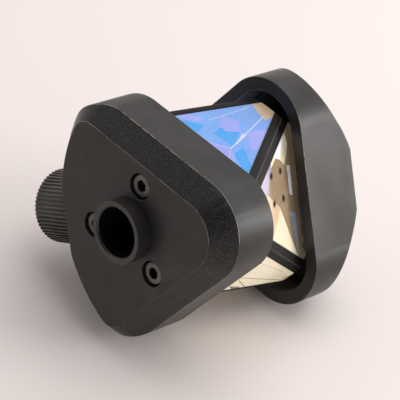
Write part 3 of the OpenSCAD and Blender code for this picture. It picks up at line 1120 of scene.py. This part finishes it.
class MINIPRISM_OT_glass(bpy.types.Operator):
    """Six corner-cube prisms, with the reflections painted on their outer faces"""

    bl_idname = "miniprism.glass"
    bl_label = "Prisms"

    def execute(self, context):
        look = context.scene.mini_prism.look
        sky = seen_into_glass("glass_sky", look, NAVY, 0.9, 0.25, False)
        amber = seen_into_glass("glass_amber", look, BROWN, 0.8, 0.15, True)
        cream = seen_into_glass("glass_cream", look, STRAW, 1.6, 0.1, False)
        ground = ground_glass(look)
        coat = mirror_coat(look)
        kinds = {
            "sky": (sky, SKY, SKY_FACETS),
            "amber": (amber, TAN, AMBER_FACETS),
            "cream": (cream, IVORY, CREAM_FACETS),
        }
        prisms = (
            ("prism_near_1", (1, 1, -1), "sky", 1),
            ("prism_near_2", (-1, 1, 1), "cream", -1),
            ("prism_near_3", (1, -1, 1), "cream", 1),
            ("prism_far_1", (1, -1, -1), "amber", 1),
            ("prism_far_2", (-1, 1, -1), "sky", -1),
            ("prism_far_3", (-1, -1, 1), "amber", -1),
        )
        for node, signs, kind, way in prisms:
            material, ground_tone, facets = kinds[kind]
            prism = merged_copy(node, node + "_cut")
            for part in (material, ground, coat):
                prism.data.materials.append(part)
            self.cut_face(prism.data, signs, way, ground_tone, facets)
            hand_over(prism, "root", "prism_glass", node)
        return {"FINISHED"}

    @staticmethod
    def cut_face(mesh, signs, way, ground_tone, facets):
        """Cuts the outer face along its facets, and stores their colours and places."""
        axes = OCTA_AXES.to_3x3()
        out = (axes @ Vector(signs)).normalized()
        centre = OCTA_AXES.translation + out * OCTA_CORNER / math.sqrt(3)
        odd = next(i for i in range(3) if signs.count(signs[i]) == 1)
        tip = Vector([signs[i] if i == odd else 0 for i in range(3)])
        up = (OCTA_AXES @ (tip * OCTA_CORNER) - centre).normalized()
        right = up.cross(out)
        laid = []
        for degrees in (120, -120, 0):
            spin = Matrix.Rotation(math.radians(degrees), 2)
            for tone, corners in facets:
                laid.append((tone, [spin @ Vector((way * u, v)) * MM for u, v in corners]))
        shape = bmesh.new()
        shape.from_mesh(mesh)
        for tone, corners in laid:
            for a, b in zip(corners, corners[1:] + corners[:1]):
                cut_along(shape, out, centre, right, up, a, b)
        places = shape.loops.layers.uv.new("face")
        tints = shape.loops.layers.float_color.new("tint")
        for face in shape.faces:
            middle = face.calc_center_median() - centre
            spot = Vector((middle.dot(right), middle.dot(up)))
            tone = ground_tone
            face.smooth = False
            if face.normal.dot(out) > 0.999:
                face.material_index = 0
                for shade, corners in laid:
                    if inside(spot, corners):
                        tone = shade
            else:
                face.material_index = kind_of_face(face, axes)
            for loop in face.loops:
                p = loop.vert.co - centre
                across = way * p.dot(right) / MAP_REACH
                loop[places].uv = (across + 0.5, p.dot(up) / MAP_REACH + 0.5)
                loop[tints] = (*tone, 1)
        shape.to_mesh(mesh)
        shape.free()


def cut_along(shape, out, centre, right, up, a, b):
    """Cuts the outer faces near the line from a to b, which are places across the face."""
    along = b - a
    cut = []
    for face in [face for face in shape.faces if face.normal.dot(out) > 0.999]:
        spots = [vert.co - centre for vert in face.verts]
        us = [spot.dot(right) for spot in spots]
        vs = [spot.dot(up) for spot in spots]
        beside = max(us) > min(a.x, b.x) and min(us) < max(a.x, b.x)
        if beside and max(vs) > min(a.y, b.y) and min(vs) < max(a.y, b.y):
            cut.append(face)
    edges = {edge for face in cut for edge in face.edges}
    verts = {vert for face in cut for vert in face.verts}
    bmesh.ops.bisect_plane(
        shape,
        geom=[*cut, *edges, *verts],
        dist=0.0001 * MM,
        plane_co=centre + right * a.x + up * a.y,
        plane_no=right * -along.y + up * along.x,
    )


def inside(spot, corners):
    """Whether a point is in a polygon whose corners go round one way."""
    turns = []
    for a, b in zip(corners, corners[1:] + corners[:1]):
        side = b - a
        away = spot - a
        turns.append(side.x * away.y - side.y * away.x)
    return all(t >= 0 for t in turns) or all(t <= 0 for t in turns)


def kind_of_face(face, axes):
    """1 for a ground corner or end of a prism, 2 for a coated inner face."""
    from_centre = face.calc_center_median() - OCTA_AXES.translation
    for i in range(3):
        axis = axes.col[i]
        if abs(face.normal.dot(axis)) > 0.99:
            return 1 if abs(from_centre.dot(axis)) > 10 * MM else 2
    return 1


class MINIPRISM_OT_knob(bpy.types.Operator):
    """Thumb screw's knob with straight ridges"""

    bl_idname = "miniprism.knob"
    bl_label = "Knob"

    def execute(self, context):
        prism = context.scene.mini_prism
        sizes = prism.knob
        knob = new_piece("clamp_knob_ridged", self.core(sizes, prism.edges))
        tree = self.ridged(sizes, prism.edges, knob_anodise(prism.look))
        tree.run(knob)
        round_edges(knob, prism.edges.ridge, 1, -1, 40)
        settle(knob)
        smooth(knob, 40)
        put(knob, CLAMP_AXIS)
        hand_over(knob, "clamp_turner", "knob_anodised", "clamp_knob")
        return {"FINISHED"}

    @staticmethod
    def core(sizes, edges):
        """Turned body of the knob about z, with a dished outer end."""
        start = KNOB_END - sizes.length
        stop = KNOB_END
        radius = sizes.valley
        profile = (
            (0, start - sizes.boss_height + sizes.hole),
            (sizes.shank, start - sizes.boss_height + sizes.hole),
            (sizes.shank, start - sizes.boss_height),
            (sizes.boss, start - sizes.boss_height),
            (sizes.boss, start),
            (radius - edges.knob, start),
            (radius, start + edges.knob),
            (radius, stop - edges.knob),
            (radius - edges.knob, stop),
            (radius * 0.72, stop),
            (radius * 0.66, stop - 0.35 * MM),
            (0, stop - 0.35 * MM),
        )
        shape = bmesh.new()
        verts = [shape.verts.new((r, 0, z)) for r, z in profile]
        for a, b in zip(verts, verts[1:]):
            shape.edges.new((a, b))
        bmesh.ops.spin(
            shape,
            geom=[*shape.verts, *shape.edges],
            cent=(0, 0, 0),
            axis=(0, 0, 1),
            angle=math.tau,
            steps=112,
            use_merge=True,
        )
        bmesh.ops.remove_doubles(shape, verts=shape.verts, dist=0.001 * MM)
        bmesh.ops.recalc_face_normals(shape, faces=shape.faces)
        return shape

    @staticmethod
    def ridged(sizes, edges, skin):
        """Adds a ridge for each step round the body."""
        inputs = {
            "Ridges": ("NodeSocketInt", sizes.ridges),
            "Radius": ("NodeSocketFloat", sizes.radius),
            "Valley": ("NodeSocketFloat", sizes.valley),
            "Length": ("NodeSocketFloat", sizes.length - 2 * edges.knob),
            "Middle": ("NodeSocketFloat", KNOB_END - sizes.length / 2),
        }
        tree = Geometry("knob ridges", inputs)
        given = tree.values
        root = 0.3 * MM
        height = given["Radius"] - given["Valley"] + root
        bar = tree.add(
            "GeometryNodeMeshCylinder",
            {"fill_type": "NGON"},
            {"Vertices": 4, "Radius": height / math.sqrt(2), "Depth": given["Length"]},
        )
        bar = tree.add(
            "GeometryNodeTransform",
            None,
            {"Geometry": bar, "Rotation": (0, 0, math.radians(45)), "Scale": (1, 0.75, 1)},
        )
        circle = tree.add(
            "GeometryNodeMeshCircle",
            {"fill_type": "NONE"},
            {"Vertices": given["Ridges"], "Radius": given["Radius"] - height / 2},
        )
        circle = tree.add(
            "GeometryNodeTransform",
            None,
            {"Geometry": circle, "Translation": tree.join(0.0, 0.0, given["Middle"])},
        )
        step = tree.add("GeometryNodeInputIndex") * math.tau / given["Ridges"]
        copies = tree.add(
            "GeometryNodeInstanceOnPoints",
            None,
            {"Points": circle, "Instance": bar, "Rotation": tree.join(0.0, 0.0, step)},
        )
        both = tree.add("GeometryNodeJoinGeometry", None, {0: [given["Geometry"], copies]})
        tree.ends_with(both, skin)
        return tree


class MINIPRISM_OT_inner_parts(bpy.types.Operator):
    """Finishes on the parts inside the caps, whose shapes stay as they are"""

    bl_idname = "miniprism.inner_parts"
    bl_label = "Inner parts"

    def execute(self, context):
        look = context.scene.mini_prism.look
        plate = anodised("plate_anodised", look)
        rings = rubber(look)
        shade = tuple(0.6 * part for part in look.brass)
        brass = turned("brass", CLAMP_AXIS, look.brass, shade, 0.3, 1.0, 2.9 * MM)
        for end in ("near", "far"):
            repaint(end + "_end_plate", plate)
            repaint(end + "_seat_ring", rings)
        repaint("clamp_bush", brass)
        repaint("clamp_pad", brass)
        repaint("clamp_screw", threaded_steel(look))
        return {"FINISHED"}


STEPS = (
    MINIPRISM_OT_stage,
    MINIPRISM_OT_caps,
    MINIPRISM_OT_sleeve,
    MINIPRISM_OT_cap_screws,
    MINIPRISM_OT_strips,
    MINIPRISM_OT_glass,
    MINIPRISM_OT_knob,
    MINIPRISM_OT_inner_parts,
)


class MINIPRISM_PT_sidebar(bpy.types.Panel):
    """Steps that build the mini prism"""

    bl_label = "Mini prism"
    bl_idname = "MINIPRISM_PT_sidebar"
    bl_space_type = "VIEW_3D"
    bl_region_type = "UI"
    bl_category = "Mini prism"

    def draw(self, context):
        for step in STEPS:
            self.layout.operator(step.bl_idname)


GROUPS = (Edges, ScrewSizes, StripSizes, KnobSizes, Finishes, StageSettings, MiniPrism)
CLASSES = (*GROUPS, *STEPS, MINIPRISM_PT_sidebar)


def register():
    for cls in CLASSES:
        bpy.utils.register_class(cls)
    bpy.types.Scene.mini_prism = PointerProperty(type=MiniPrism)


def unregister():
    del bpy.types.Scene.mini_prism
    for cls in reversed(CLASSES):
        bpy.utils.unregister_class(cls)


def main():
    register()
    for step in STEPS:
        group, name = step.bl_idname.split(".")
        getattr(getattr(bpy.ops, group), name)()


if __name__ == "__main__":
    main()
